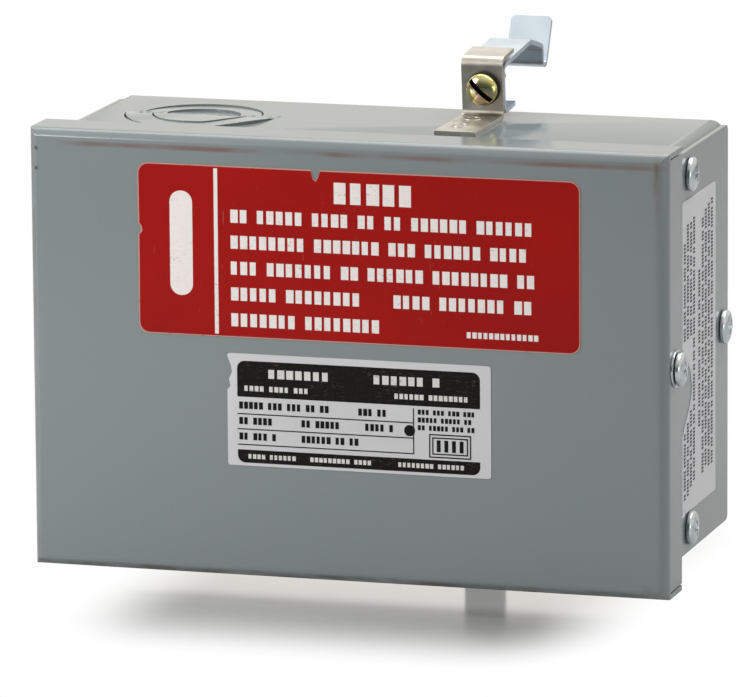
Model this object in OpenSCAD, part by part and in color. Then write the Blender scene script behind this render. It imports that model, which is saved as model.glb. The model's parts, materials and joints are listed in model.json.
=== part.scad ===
// Plug-in tap off box for a small busway: a sheet-steel enclosure that plugs
// its blades into the busway's outlet and clamps on with a screwed hook.
// Frame: X right, Y back towards the busway, Z up. The origin is the centre of
// the plug in the plane of the box's back.

/* [Enclosure] */
// Width over the two end plates
box_w = 179.6; // [150:0.2:240]
// Height over the body's top and bottom panels
box_h = 116.6; // [96:0.2:160]
// Depth of the body from its front edge to the plane of its back
box_d = 74; // [66:0.5:110]
// How far the plug's centre lies right of the middle of the box
plug_offset = 23.3; // [0:0.1:26]
// Thickness of the enclosure's sheet steel
sheet = 1.5; // [1:0.1:2]
// Outside radius of the enclosure's bends
bend_r = 3.5; // [2.5:0.5:6]
// Width of the body's side flanges that carry the end plates
side_flange = 17; // [13:0.5:24]
// Height of the lip turned down at the front of the bottom panel
lip_h = 3.5; // [2:0.5:8]

/* [Front cover] */
// Depth of the cover's four flanges, over its front face
cover_flange = 16; // [12:0.5:24]
// Gap between the cover's flanges and the body
cover_gap = 0.8; // [0.6:0.1:1.5]
// Gap between the cover's front panel and the body's front edge
cover_front_gap = 0.5; // [0.3:0.1:2]
// Width of the seam between two neighbouring flanges
corner_seam = 0.4; // [0.2:0.1:1]
// Width of the two hook tabs the cover swings on
hinge_tab_w = 10; // [6:0.5:14]
// Distance of the hook tabs from the ends of the side windows
hinge_tab_inset = 1.3; // [0.6:0.1:10]
// Reach of the hook tabs into the box
hinge_tab_reach = 4; // [3:0.5:6]
// Clearance of the hook tabs in their slots
hinge_fit = 0.3; // [0.3:0.05:0.6]

/* [Knockout] */
// Distance of the knockout's centre left of the middle of the box
knockout_x = 56; // [40:0.5:60]
// Distance of the knockout's centre in front of the back
knockout_back = 29.5; // [25:0.5:40]
// Diameters of the four concentric knockout rings
knockout_d = [22.2, 28.2, 34.9, 44];
// Width of the sheared line round each ring
shear_gap = 0.4; // [0.2:0.1:0.8]
// Angle left uncut at each end of a sheared half ring
tie_angle = 9; // [4:1:20]

/* [End plates] */
// How far the end plates stop short of the body's top and bottom
plate_short = 1.5; // [0.5:0.5:5]
// Radius of the end plates' rear corners
plate_corner_r = 1.8; // [0.5:0.1:5]
// Height of the two front plate screws from the nearer panel
plate_screw_edge = 8.3; // [7:0.1:12]
// Distance of the two front plate screws in front of the back
plate_screw_front = 43.5; // [30:0.5:50]
// Distance of the middle plate screw in front of the back
plate_screw_back = 6; // [6:0.5:12]
// Diameter of the fixing screws' shanks
screw_d = 4.2; // [3:0.1:5]
// Diameter of the fixing screws' heads
screw_head_d = 9.6; // [7:0.1:11]
// Height of the fixing screws' heads
screw_head_h = 2.5; // [1.5:0.1:4]
// Length of the fixing screws' shanks under the head
screw_len = 9; // [6:0.5:14]
// Radial clearance of a screw in its hole
screw_fit = 0.2; // [0.1:0.05:0.5]
// Radial clearance of a screw in the thread it bites
tap_fit = 0.05; // [0:0.05:0.1]
// Thickness of the cover screw's washer
washer_t = 0.8; // [0.5:0.1:1.5]
// Diameter of the cover screw's washer
washer_d = 10.4; // [9:0.1:14]

/* [Clamp] */
// Width of the clamp's bracket and hook, and of the lower hook
strap_w = 12; // [10:0.5:18]
// Thickness of the clamp's strips
strap_t = 1.3; // [1:0.1:2]
// Inside radius of the clamp's bends
strap_r = 1.5; // [0.6:0.1:2]
// Distance of the bracket's leg in front of the back
leg_front = 18; // [14:0.5:30]
// Length of the bracket's foot in front of its leg
foot_len = 27; // [22:0.5:36]
// Height of the bracket over the box
bracket_h = 17.6; // [16:0.2:24]
// Reach of the bracket's top flange from the leg's front
bracket_reach = 12.5; // [10:0.5:20]
// Forward lean of the clamp
lean = 5.5; // [0:0.5:8]
// Gap between the bracket's flange and the hook's arm
arm_gap = 0.8; // [0.5:0.1:1.5]
// Height of the hook's lower lip over the foot of the leg
lip_z = 0.9; // [0.6:0.1:3]
// Length of the hook's lower lip from the leg's front
lip_reach = 12.3; // [8:0.1:20]
// Length of the hook's arm from the leg's front to its crest
arm_reach = 30; // [24:0.5:45]
// Length of the hook's downward slope behind the crest
slope_len = 11; // [6:0.5:20]
// Angle of that slope below the arm
slope_a = 20; // [10:1:35]
// Height of the straight wall that bears on the busway's edge
hook_wall = 2.4; // [1:0.2:6]
// Length of the hook's raised tab
tab_len = 12.8; // [6:0.2:20]
// Angle of the raised tab over the arm
tab_a = 58; // [40:1:80]
// Diameter of the clamp screw
clamp_screw_d = 4.8; // [4:0.1:6]
// Length of the clamp screw under its head
clamp_screw_len = 17; // [12:0.5:25]
// Diameter of the clamp screw's head
clamp_head_d = 9.1; // [7:0.1:11]
// Height of the clamp screw's head
clamp_head_h = 3.2; // [2:0.1:4]
// How far the clamp screw lies right of the clamp's middle
clamp_screw_x = 0.4; // [0:0.1:1.4]
// Height of the clamp screw over the foot of the leg
clamp_screw_z = 8.9; // [7.5:0.1:9.5]
// Radial clearance of the clamp screw in the bracket and the hook
clamp_fit = 0.08; // [0.03:0.01:0.1]
// Depth of the lower hook under the box
lower_h = 15; // [10:0.5:24]
// Height of the lower hook's upturned end
lower_tip = 8; // [5:0.5:11]
// Reach of the lower hook behind the back
lower_reach = 24; // [15:0.5:40]
// Diameter of a spot weld's ring
weld_d = 5.6; // [3:0.1:8]
// Distances of the two spot welds in front of the leg
weld_places = [7.2, 19];
// How far the welds lie left of the clamp's middle
weld_left = 1; // [0:0.1:3]

/* [Plug head] */
// Pitch of the four blades
pole_pitch = 15; // [14:0.5:20]
// Width of the moulded plug behind the box
plug_w = 64; // [60:0.5:90]
// Height of the moulded plug
plug_h = 24; // [20:0.5:34]
// Reach of the moulded plug behind the box
plug_reach = 12; // [6:0.5:20]
// Reach of the blades past the moulded plug
blade_reach = 14; // [8:0.5:20]
// How much further the ground blade reaches
ground_extra = 3; // [0:0.5:6]
// Thickness of the blades and straps
blade_t = 1.6; // [1.2:0.1:2.5]
// Height of the blades
blade_h = 11; // [8:0.5:16]
// Thickness of the plug's flange inside the box
plug_flange_t = 5; // [3:0.5:8]
// Width of the plug's flange past the moulded plug at each end
plug_ear = 9; // [8:0.5:12]
// Height of the plug's flange past the moulded plug above and below
plug_lap = 5; // [4:0.5:8]
// Radius of the moulded plug's long edges
plug_corner_r = 6; // [2:0.5:9]
// Gap round the moulded plug in the back panel
plug_fit = 0.4; // [0.2:0.1:1]
// Gap round a blade in the moulded plug
blade_fit = 0.1; // [0.05:0.05:0.4]
// Height of the ribs between the poles
rib_h = 9; // [5:0.5:14]

/* [Terminals] */
// Drop from the plug's centre to the terminal block's middle
block_drop = 34; // [32:0.5:40]
// Height of the terminal block
block_h = 22; // [16:0.5:26]
// Width and height of a terminal lug
lug_size = 12; // [10:0.2:12.4]
// Depth of a lug's wire way in front of its strap
wire_way = 7; // [5:0.5:12]
// Wall of a lug behind its strap
lug_wall = 1.5; // [1:0.1:3]
// Thickness of a lug's front, which holds its screw
lug_front = 4.5; // [3:0.5:7]
// Diameter of a lug's screw
lug_screw_d = 5; // [4:0.1:6]
// Width of the copper straps
bar_w = 8; // [6:0.2:8.6]
// Height of the ground strap's screw over the plug's flange
ground_rise = 14; // [13.6:0.2:18]
// Diameter of the ground lug's wire hole
ground_wire_d = 6; // [4.5:0.1:7]

/* [Labels] */
// Thickness of the stickers
label_t = 0.2; // [0.1:0.05:0.3]
// Width and height of the red panel sticker
red_size = [127.4, 48.2];
// Height of the red sticker's middle over the plug's centre
red_z = 28.3; // [20:0.1:32]
// Width and height of the rating plate
plate_size = [76.2, 31.75];
// Drop of the rating plate's middle under the plug's centre
plate_drop = 16.2; // [14:0.1:40]
// How far both stickers lie right of the middle of the cover
label_x = 3.8; // [-15:0.1:15]
// Width of the sticker on the right end plate
side_label_w = 37; // [20:0.5:40]
// Distance of the side sticker's rear edge in front of the back
side_label_back = 14.7; // [10:0.1:16]
// Space between the side sticker and the upper screw's head
side_label_top_gap = 2; // [0.1:0.1:10]
// Space between the side sticker and the lower screw's head
side_label_bottom_gap = 0.1; // [0.1:0.1:10]

/* [Hidden] */
$fn = 48;
eps = 0.01;
cut = 4 * sheet;
recess_floor = 0.45;
bend_step = 9;

box_x = -plug_offset;
wrap_w = box_w - 2 * sheet;
top_z = box_h / 2;
plate_h = box_h - 2 * plate_short;
window_h = box_h - 2 * side_flange;
in_r = bend_r - sheet;
cover_w = box_w + 2 * (cover_gap + sheet);
cover_top = top_z + cover_gap + sheet;
cover_bottom = -top_z - lip_h - cover_gap - sheet;
cover_h = cover_top - cover_bottom;
cover_y = -box_d - cover_front_gap - sheet;
cover_rear = cover_y + cover_flange;
cover_screw_y = cover_y + cover_flange / 2;
hinge_r = cover_gap + 0.2;
hinge_x = box_x - cover_w / 2 + sheet + hinge_r;
hinge_y = cover_rear + sheet;
hinge_z = window_h / 2 - hinge_tab_inset - hinge_tab_w / 2;
plate_screw_z = top_z - plate_screw_edge;
strap_out_r = strap_r + strap_t;
arm_top = bracket_h - strap_t - arm_gap;
web_front = strap_t + 0.1;
web_back = web_front + strap_t;
clamp_washer_t = 0.9;
head_seat = 0.03;
pole_x = [-1.5 * pole_pitch, -0.5 * pole_pitch, 0.5 * pole_pitch];
ground_pole_x = 1.5 * pole_pitch;
panel_in = -sheet;
plug_flange_w = plug_w + 2 * plug_ear;
plug_flange_h = plug_h + 2 * plug_lap;
plug_flange_r = 3;
flange_front = panel_in - plug_flange_t;
tab_front = flange_front - blade_t;
strap_front = tab_front - blade_t;
tab_mid = (blade_t + bar_w) / 2;
block_mid_x = pole_x[1] + tab_mid;
block_screw_gap = 6;
block_end = 5;
block_screw_x = 1.5 * pole_pitch + block_screw_gap;
block_w = 2 * (block_screw_x + block_end);
barrier_step = 3;
strap_short = 1;
rib_t = 2;
rib_side = 3.5 + rib_t / 2;
small_d = 4;
small_head_d = 7.4;
small_head_h = 2.2;
lug_back = tab_front + lug_wall;
lug_mouth = strap_front - wire_way;
lug_face = lug_mouth - lug_front;
window_fit = 0.2;
stud_proud = 2;
stud_slot_w = 1;
stud_slot_deep = 1.2;
tongue_t = 2;
barrel_gap = 5;
ground_lug_w = 11;
ground_screw_z = plug_flange_h / 2 + ground_rise;
ground_barrel_z = ground_screw_z + ground_lug_w / 2 + barrel_gap;
label_top = plate_screw_z - screw_head_d / 2 - side_label_top_gap;
label_bottom = side_label_bottom_gap - plate_screw_z + screw_head_d / 2;

// A strip bent in one plane: each step is [straight length, turn that follows];
// a positive turn goes towards the strip's thick side.
module bent_strip(steps, t, r) {
    back = strip_side(steps, t, t, r);
    polygon(concat(strip_side(steps, 0, t, r), [for (k = [len(back) - 1:-1:0]) back[k]]));
}

// The points of one side of a bent strip, "off" away from its base line.
function strip_side(steps, off, t, r, i = 0, p = [0, 0], a = 0) =
    let(
        turn = steps[i][1],
        bend_from = p + steps[i][0] * [cos(a), sin(a)],
        straight = [p + off * up_from(a), bend_from + off * up_from(a)]
    )
    i + 1 == len(steps) ? straight :
    let(
        side = turn > 0 ? t + r : -r,
        centre = bend_from + side * up_from(a),
        parts = ceil(abs(turn) / bend_step),
        bend = [for (k = [1:parts - 1]) centre + (off - side) * up_from(a + turn * k / parts)]
    )
    concat(straight, bend,
        strip_side(steps, off, t, r, i + 1, centre - side * up_from(a + turn), a + turn));

function up_from(a) = [-sin(a), cos(a)];

// Stands a flat profile drawn as (back, up) upright, across the given width.
module across_x(width) {
    rotate([90, 0, 90]) linear_extrude(width, center = true) children();
}

// A rectangle with round corners.
module round_rect(w, h, r) {
    square([w - 2 * r, h], center = true);
    square([w, h - 2 * r], center = true);
    for (sx = [-1, 1], sy = [-1, 1])
        translate([sx * (w / 2 - r), sy * (h / 2 - r)]) circle(r);
}

// A block whose long edges along X and along Y are rounded, open at no side.
module bent_block(w, h, front, back, r) {
    depth = back - front;
    intersection() {
        translate([0, back, 0])
            rotate([90, 0, 0]) linear_extrude(depth) round_rect(w, h, r);
        translate([-w / 2, 0, 0])
            rotate([90, 0, 90]) linear_extrude(w)
                translate([back - depth, 0]) round_rect(2 * depth, h, r);
    }
}

module body_shell() {
    color("lightslategray") difference() {
        union() {
            translate([box_x, 0, 0]) difference() {
                bent_block(wrap_w, box_h, -box_d, 0, bend_r);
                bent_block(wrap_w - 2 * sheet, box_h - 2 * sheet, -box_d - eps, -sheet, in_r);
                side_windows();
            }
            front_lip();
        }
        translate([box_x - knockout_x, -knockout_back, top_z]) knockout_cuts();
        plug_opening();
        for (side = [-1, 1]) translate([box_x + side * wrap_w / 2, 0, 0])
            plate_screw_places() tapped_hole(screw_d, cut);
        rear_tapped_holes();
    }
}

// The openings between the side flanges, one through cut for both sides.
module side_windows() {
    translate([-box_w, -box_d - eps, -window_h / 2])
        cube([2 * box_w, box_d - side_flange + eps, window_h]);
}

// The lip that the cover's bottom flange closes over.
module front_lip() {
    lip_w = wrap_w - 2 * bend_r;
    translate([box_x - lip_w / 2, -box_d, -top_z - lip_h])
        cube([lip_w, sheet, lip_h + sheet]);
}

module tapped_hole(d, depth) {
    cylinder(r = d / 2 + tap_fit, h = depth, center = true);
}

// Four half rings, sheared by turns at the back and at the front.
module knockout_cuts() {
    for (k = [0:len(knockout_d) - 1])
        rotate([0, 0, (k % 2 == 0 ? 0 : 180) + tie_angle])
            rotate_extrude(angle = 180 - 2 * tie_angle)
                translate([knockout_d[k] / 2 - shear_gap, -sheet - eps])
                    square([shear_gap, sheet + 2 * eps]);
}

module plug_opening() {
    translate([0, eps, 0])
        rotate([90, 0, 0])
            linear_extrude(sheet + 2 * eps)
                round_rect(plug_w + 2 * plug_fit, plug_h + 2 * plug_fit, plug_corner_r + plug_fit);
}

module rear_tapped_holes() {
    translate([0, -sheet / 2, 0]) rotate([90, 0, 0]) {
        plug_screw_places() tapped_hole(small_d, 2 * sheet);
        block_screw_places() tapped_hole(small_d, 2 * sheet);
        ground_screw_place() tapped_hole(small_d, 2 * sheet);
    }
}

// Places children at the three plate screws of one side, with Z out of the plate.
module plate_screw_places() {
    places = [[-plate_screw_front, plate_screw_z], [-plate_screw_front, -plate_screw_z],
        [-plate_screw_back, 0]];
    for (p = places) translate([0, p[0], p[1]]) rotate([0, 90, 0]) children();
}

module cover_screw_place() {
    translate([0, cover_screw_y, 0]) rotate([0, 90, 0]) children();
}

module plug_screw_places() {
    for (side = [-1, 1]) translate([side * (plug_w / 2 + plug_ear / 2), 0, 0]) children();
}

// The block's two screws, one beyond each outer pole.
module block_screw_places() {
    for (side = [-1, 1])
        translate([block_mid_x + side * block_screw_x, -block_drop, 0]) children();
}

// The screw that holds the ground strap and its lug to the back panel.
module ground_screw_place() {
    translate([ground_pole_x + tab_mid, ground_screw_z, 0]) children();
}

// One end plate; side is 1 on the right and -1 on the left.
module end_plate(side) {
    color("lightslategray") difference() {
        translate([box_x + side * (box_w - sheet) / 2, 0, 0]) rotate([0, 90, 0])
            linear_extrude(sheet, center = true) plate_outline();
        translate([box_x + side * box_w / 2, 0, 0]) plate_screw_places() screw_hole();
        if (side > 0)
            translate([box_x + box_w / 2, 0, 0]) cover_screw_place() tapped_hole(screw_d, cut);
        else hinge_tab_places() hinge_slot();
    }
}

// Places children on the cover's hinge axis at each of its two hook tabs.
module hinge_tab_places() {
    for (z = [-hinge_z, hinge_z]) translate([hinge_x, hinge_y, z]) children();
}

// The left plate's slot for a hook tab, with room for the tab to swing.
module hinge_slot() {
    slot_h = hinge_tab_w + 2 * hinge_fit;
    translate([-cut, -hinge_fit, -slot_h / 2])
        cube([2 * cut, hinge_r + sheet + 2 * hinge_fit, slot_h]);
}

// A tab that runs back from the cover's left flange and hooks into the box.
module hinge_tab() {
    outer = hinge_r + sheet;
    translate([-outer, cover_rear - hinge_y - eps, -hinge_tab_w / 2])
        cube([sheet, hinge_y - cover_rear + eps, hinge_tab_w]);
    translate([0, 0, -hinge_tab_w / 2])
        rotate([0, 0, 90]) rotate_extrude(angle = 90)
            translate([hinge_r, 0]) square([sheet, hinge_tab_w]);
    translate([0, hinge_r, -hinge_tab_w / 2]) cube([hinge_tab_reach, sheet, hinge_tab_w]);
}

module plate_outline() {
    r = plate_corner_r;
    translate([-plate_h / 2, -box_d]) square([plate_h, box_d - r]);
    translate([-plate_h / 2 + r, -box_d]) square([plate_h - 2 * r, box_d]);
    for (s = [-1, 1]) translate([s * (plate_h / 2 - r), -r]) circle(r);
}

module screw_hole() {
    cylinder(r = screw_d / 2 + screw_fit, h = cut, center = true);
}

module front_cover() {
    inner_w = cover_w - 2 * sheet;
    inner_h = cover_h - 2 * sheet;
    mid_z = (cover_top + cover_bottom) / 2;
    color("lightslategray") {
        difference() {
            translate([box_x, cover_y, mid_z]) cover_pan(inner_w, inner_h);
            translate([box_x + cover_w / 2, 0, 0]) cover_screw_slot();
        }
        hinge_tab_places() hinge_tab();
    }
}

// The slot in the cover's right flange, open to the rear.
module cover_screw_slot() {
    cover_screw_place() screw_hole();
    translate([-cut / 2, cover_screw_y, -screw_d / 2 - screw_fit])
        cube([cut, cover_flange, screw_d + 2 * screw_fit]);
}

module cover_pan(inner_w, inner_h) {
    difference() {
        cover_block(cover_w, cover_h, 0, cover_flange, bend_r);
        cover_block(inner_w, inner_h, sheet, cover_flange + eps, in_r);
        for (sx = [-1, 1], sz = [-1, 1])
            translate([sx * (cover_w - sheet) / 2, cover_flange / 2 + bend_r,
                sz * (inner_h / 2 - corner_seam / 2)])
                cube([sheet + 2 * eps, cover_flange, corner_seam], center = true);
    }
}

// A block from front to back whose four front edges are rounded.
module cover_block(w, h, front, back, r) {
    depth = back - front;
    intersection() {
        translate([0, 0, -h / 2]) linear_extrude(h)
            translate([0, back]) round_rect(w, 2 * depth, r);
        translate([-w / 2, 0, 0]) rotate([90, 0, 90]) linear_extrude(w)
            translate([back, 0]) round_rect(2 * depth, h, r);
        translate([-w / 2, front, -h / 2]) cube([w, depth, h]);
    }
}

// A cross-recessed pan head screw, head up, its shank going down from Z = 0.
module pan_screw(d, head_d, head_h, len) {
    dome_r = head_d / 2;
    difference() {
        union() {
            translate([0, 0, -len]) cylinder(d = d, h = len + eps);
            rotate_extrude() pan_head_profile(dome_r, head_h);
        }
        for (a = [0, 90])
            rotate([0, 0, a]) translate([-head_d / 4, -head_d / 18, head_h * recess_floor])
                cube([head_d / 2, head_d / 9, head_h]);
    }
}

// Half of a pan head: a straight rim under a quarter-round shoulder.
module pan_head_profile(r, h) {
    shoulder = h * 0.6;
    square([r, h - shoulder]);
    square([r - shoulder, h]);
    translate([r - shoulder, h - shoulder]) intersection() {
        circle(shoulder);
        square(shoulder);
    }
}

module plate_screws(side) {
    color("silver") translate([box_x + side * box_w / 2, 0, 0])
        plate_screw_places()
            mirror([0, 0, side > 0 ? 0 : 1])
                pan_screw(screw_d, screw_head_d, screw_head_h, screw_len);
}

module cover_screw() {
    color("silver") translate([box_x + cover_w / 2 + washer_t, 0, 0])
        cover_screw_place() pan_screw(screw_d, screw_head_d, screw_head_h, screw_len);
}

module cover_washer() {
    color("silver") translate([box_x + cover_w / 2 + washer_t / 2, 0, 0])
        cover_screw_place() difference() {
            cylinder(d = washer_d, h = washer_t, center = true);
            cylinder(r = screw_d / 2 + screw_fit, h = 2 * washer_t, center = true);
        }
}

// The clamp's own frame: back, up from the foot of the leg, leaning forward.
module in_clamp_frame() {
    translate([0, -leg_front - strap_r, top_z + strap_out_r]) rotate([lean, 0, 0])
        translate([0, strap_r, -strap_out_r]) children();
}

module clamp_screw_axis() {
    translate([clamp_screw_x, 0, clamp_screw_z]) rotate([90, 0, 0]) children();
}

module clamp_bracket() {
    leg = bracket_h - 2 * strap_out_r;
    steps = [[foot_len, 90 + lean], [leg, -90], [bracket_reach - strap_out_r, 0]];
    color("rosybrown") difference() {
        union() {
            translate([0, -leg_front - foot_len - strap_r, top_z]) across_x(strap_w)
                bent_strip(steps, strap_t, strap_r);
            weld_rings(top_z + strap_t);
        }
        in_clamp_frame() clamp_screw_axis()
            cylinder(r = clamp_screw_d / 2 + clamp_fit, h = 6 * strap_t, center = true);
    }
}

// The low rings that two spot welds leave on a foot.
module weld_rings(z) {
    rise = 0.25;
    rim = 0.6;
    for (place = weld_places)
        translate([-weld_left, -leg_front - place, z - eps])
            difference() {
                cylinder(d = weld_d, h = rise);
                translate([0, 0, -eps]) cylinder(d = weld_d - 2 * rim, h = rise + 3 * eps);
            }
}

module clamp_hook() {
    lip = lip_reach - web_back - strap_r;
    web = arm_top - strap_t - (lip_z + strap_t) - 2 * strap_r;
    steps = [[lip, -90], [web, -90], [arm_reach - web_back - strap_r, -slope_a],
        [slope_len, slope_a - 90], [hook_wall, 90 + tab_a], [tab_len, 0]];
    color("lightsteelblue") in_clamp_frame() difference() {
        across_x(strap_w)
            translate([lip_reach, lip_z + strap_t]) rotate(180)
                bent_strip(steps, strap_t, strap_r);
        clamp_screw_axis()
            cylinder(r = clamp_screw_d / 2 + clamp_fit, h = 6 * strap_t, center = true);
    }
}

module clamp_screw() {
    slot_w = 1.5;
    slot_turn = -54;
    color("goldenrod") in_clamp_frame() translate([0, -clamp_washer_t - head_seat, 0])
        clamp_screw_axis() difference() {
            union() {
                translate([0, 0, -clamp_screw_len]) cylinder(d = clamp_screw_d, h = clamp_screw_len);
                rotate_extrude() pan_head_profile(clamp_head_d / 2, clamp_head_h);
            }
            rotate([0, 0, slot_turn])
                translate([-clamp_head_d, -slot_w / 2, clamp_head_h * recess_floor])
                    cube([2 * clamp_head_d, slot_w, clamp_head_h]);
        }
}

module clamp_washer() {
    rim = 0.3;
    color("dimgray") in_clamp_frame() clamp_screw_axis() difference() {
        cylinder(d = clamp_head_d + 2 * rim, h = clamp_washer_t);
        translate([0, 0, -eps])
            cylinder(r = clamp_screw_d / 2 + clamp_fit, h = clamp_washer_t + 2 * eps);
    }
}

module lower_hook() {
    leg = lower_h - 2 * strap_out_r;
    arm = leg_front + lower_reach - 2 * strap_out_r;
    steps = [[foot_len, 90], [leg, -90], [arm, -90], [lower_tip - strap_out_r, 0]];
    color("rosybrown") mirror([0, 0, 1]) {
        translate([0, -leg_front - foot_len - strap_r, top_z]) across_x(strap_w)
            bent_strip(steps, strap_t, strap_r);
        weld_rings(top_z + strap_t);
    }
}

module plug_head() {
    color("sienna") difference() {
        union() {
            translate([0, plug_reach, 0]) rotate([90, 0, 0])
                linear_extrude(plug_reach - panel_in) round_rect(plug_w, plug_h, plug_corner_r);
            translate([0, panel_in, 0]) rotate([90, 0, 0])
                linear_extrude(plug_flange_t) round_rect(plug_flange_w, plug_flange_h, plug_flange_r);
            for (k = [0:3])
                translate([pole_x[0] + k * pole_pitch - rib_side, flange_front - rib_h,
                    -plug_flange_h / 2])
                    cube([rib_t, rib_h + eps, plug_flange_h]);
        }
        for (x = concat(pole_x, ground_pole_x))
            translate([x - blade_t / 2 - blade_fit, flange_front - eps, -blade_h / 2 - blade_fit])
                cube([blade_t + 2 * blade_fit, plug_reach - flange_front + 2 * eps,
                    blade_h + 2 * blade_fit]);
        rotate([90, 0, 0]) plug_screw_places()
            cylinder(r = small_d / 2 + screw_fit, h = box_d, center = true);
        translate([0, flange_front, 0]) rotate([90, 0, 0])
            tab_places() tapped_hole(small_d, 2 * plug_flange_t);
    }
}

// The middle of each phase blade's tab, where its strap is screwed on.
module tab_places() {
    for (x = concat(pole_x, ground_pole_x)) translate([x + tab_mid, 0, 0]) children();
}

// A blade with its tab turned flat on the plug's flange.
module blade(x, extra) {
    reach = plug_reach + blade_reach + extra;
    color("peru") difference() {
        translate([x, 0, 0]) {
            translate([-blade_t / 2, tab_front, -blade_h / 2])
                cube([blade_t, reach - tab_front, blade_h]);
            translate([-blade_t / 2, tab_front, -blade_h / 2])
                cube([blade_t + bar_w, blade_t, blade_h]);
        }
        translate([x + tab_mid, tab_front, 0]) rotate([90, 0, 0])
            cylinder(r = small_d / 2 + screw_fit, h = 4 * blade_t, center = true);
    }
}

// A flat strap from a blade's tab down into its lug.
module phase_strap(k) {
    strap_end = block_drop + lug_size / 2 - strap_short;
    color("peru") difference() {
        translate([pole_x[k] + tab_mid - bar_w / 2, strap_front, -strap_end])
            cube([bar_w, blade_t, blade_h / 2 + strap_end]);
        translate([pole_x[k] + tab_mid, tab_front, 0]) rotate([90, 0, 0])
            cylinder(r = small_d / 2 + screw_fit, h = 4 * blade_t, center = true);
    }
}

module strap_screws() {
    color("silver") translate([0, strap_front, 0]) rotate([90, 0, 0])
        tab_places() pan_screw(small_d, small_head_d, small_head_h, plug_flange_t + blade_t);
}

module plug_head_screws() {
    color("silver") translate([0, flange_front, 0]) rotate([90, 0, 0])
        plug_screw_places() pan_screw(small_d, small_head_d, small_head_h, plug_flange_t + sheet);
}

module terminal_block() {
    barrier_depth = lug_back - lug_face - barrier_step;
    color("sienna") difference() {
        union() {
            translate([block_mid_x - block_w / 2, lug_back, -block_drop - block_h / 2])
                cube([block_w, panel_in - lug_back, block_h]);
            for (k = [-1.5:1.5])
                translate([block_mid_x + k * pole_pitch - rib_t / 2, lug_back - barrier_depth,
                    -block_drop - block_h / 2])
                    cube([rib_t, barrier_depth + eps, block_h]);
        }
        rotate([90, 0, 0]) block_screw_places()
            cylinder(r = small_d / 2 + screw_fit, h = box_d, center = true);
    }
}

module terminal_block_screws() {
    color("silver") translate([0, lug_back, 0]) rotate([90, 0, 0])
        block_screw_places()
            pan_screw(small_d, small_head_d, small_head_h, panel_in - lug_back + sheet);
}

// A box lug round the end of a strap, with a wire way in front of the strap.
module terminal_lug(k) {
    window_w = bar_w + 2 * window_fit;
    color("lightgray") translate([pole_x[k] + tab_mid, 0, -block_drop]) difference() {
        translate([-lug_size / 2, lug_face, -lug_size / 2])
            cube([lug_size, lug_back - lug_face, lug_size]);
        translate([-window_w / 2, lug_mouth, -lug_size])
            cube([window_w, tab_front - lug_mouth, 2 * lug_size]);
        translate([0, lug_face, 0]) rotate([90, 0, 0]) tapped_hole(lug_screw_d, 3 * lug_front);
    }
}

module lug_screws() {
    color("silver") for (x = pole_x)
        translate([x + tab_mid, lug_mouth, -block_drop]) rotate([90, 0, 0])
            slotted_stud(lug_screw_d, lug_front + stud_proud);
}

// A headless screw with a slot across its outer end.
module slotted_stud(d, len) {
    difference() {
        cylinder(d = d, h = len);
        translate([-d, -stud_slot_w / 2, len - stud_slot_deep])
            cube([2 * d, stud_slot_w, stud_slot_deep + eps]);
    }
}

// From the ground blade's tab up, and stepped back to the panel under the ground lug.
module ground_strap() {
    step_a = 45;
    bend_sum = 2 * strap_r + blade_t;
    step_back = panel_in - tab_front;
    slant = (step_back - bend_sum * (1 - cos(step_a))) / sin(step_a);
    step_up = bend_sum * sin(step_a) + slant * cos(step_a);
    flat = ground_screw_z + ground_lug_w / 2 - plug_flange_h / 2 - step_up;
    steps = [[(blade_h + plug_flange_h) / 2, step_a], [slant, -step_a], [flat, 0]];
    color("peru") difference() {
        translate([ground_pole_x + tab_mid, 0, 0]) across_x(bar_w)
            translate([strap_front, -blade_h / 2]) mirror([1, 0]) rotate(90)
                bent_strip(steps, blade_t, strap_r);
        rotate([90, 0, 0]) {
            ground_screw_place() cylinder(r = small_d / 2 + screw_fit, h = box_d, center = true);
            translate([ground_pole_x + tab_mid, 0, 0])
                cylinder(r = small_d / 2 + screw_fit, h = box_d, center = true);
        }
    }
}

// A barrel for the ground wire, with a tongue under the ground screw.
module ground_lug() {
    back = panel_in - blade_t;
    half = ground_lug_w / 2;
    color("lightgray") translate([ground_pole_x + tab_mid, 0, 0]) difference() {
        union() {
            translate([-half, back - tongue_t, ground_screw_z - half])
                cube([ground_lug_w, tongue_t, ground_barrel_z - ground_screw_z]);
            translate([-half, back - ground_lug_w, ground_barrel_z - half])
                cube([ground_lug_w, ground_lug_w, ground_lug_w]);
        }
        translate([0, back - half, ground_barrel_z]) rotate([0, 90, 0])
            cylinder(d = ground_wire_d, h = 2 * ground_lug_w, center = true);
        translate([0, 0, ground_screw_z]) rotate([90, 0, 0])
            cylinder(r = small_d / 2 + screw_fit, h = box_d, center = true);
        translate([0, back - ground_lug_w, ground_barrel_z]) rotate([90, 0, 0])
            tapped_hole(small_d, ground_lug_w);
    }
}

module ground_screws() {
    back = panel_in - blade_t;
    wall = (ground_lug_w - ground_wire_d) / 2;
    color("seagreen") rotate([90, 0, 0]) {
        translate([0, 0, tongue_t - back]) ground_screw_place()
            pan_screw(small_d, small_head_d, small_head_h, tongue_t - back);
        translate([ground_pole_x + tab_mid, ground_barrel_z, ground_lug_w - back - wall])
            slotted_stud(small_d, wall + stud_proud);
    }
}

module red_sticker() {
    color("firebrick") sticker(red_size, red_z, 3);
}

module rating_plate() {
    color("gainsboro") sticker(plate_size, -plate_drop, 1.5);
}

module sticker(size, z, r) {
    translate([box_x + label_x, cover_y, z]) rotate([90, 0, 0])
        linear_extrude(label_t) round_rect(size[0], size[1], r);
}

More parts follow.
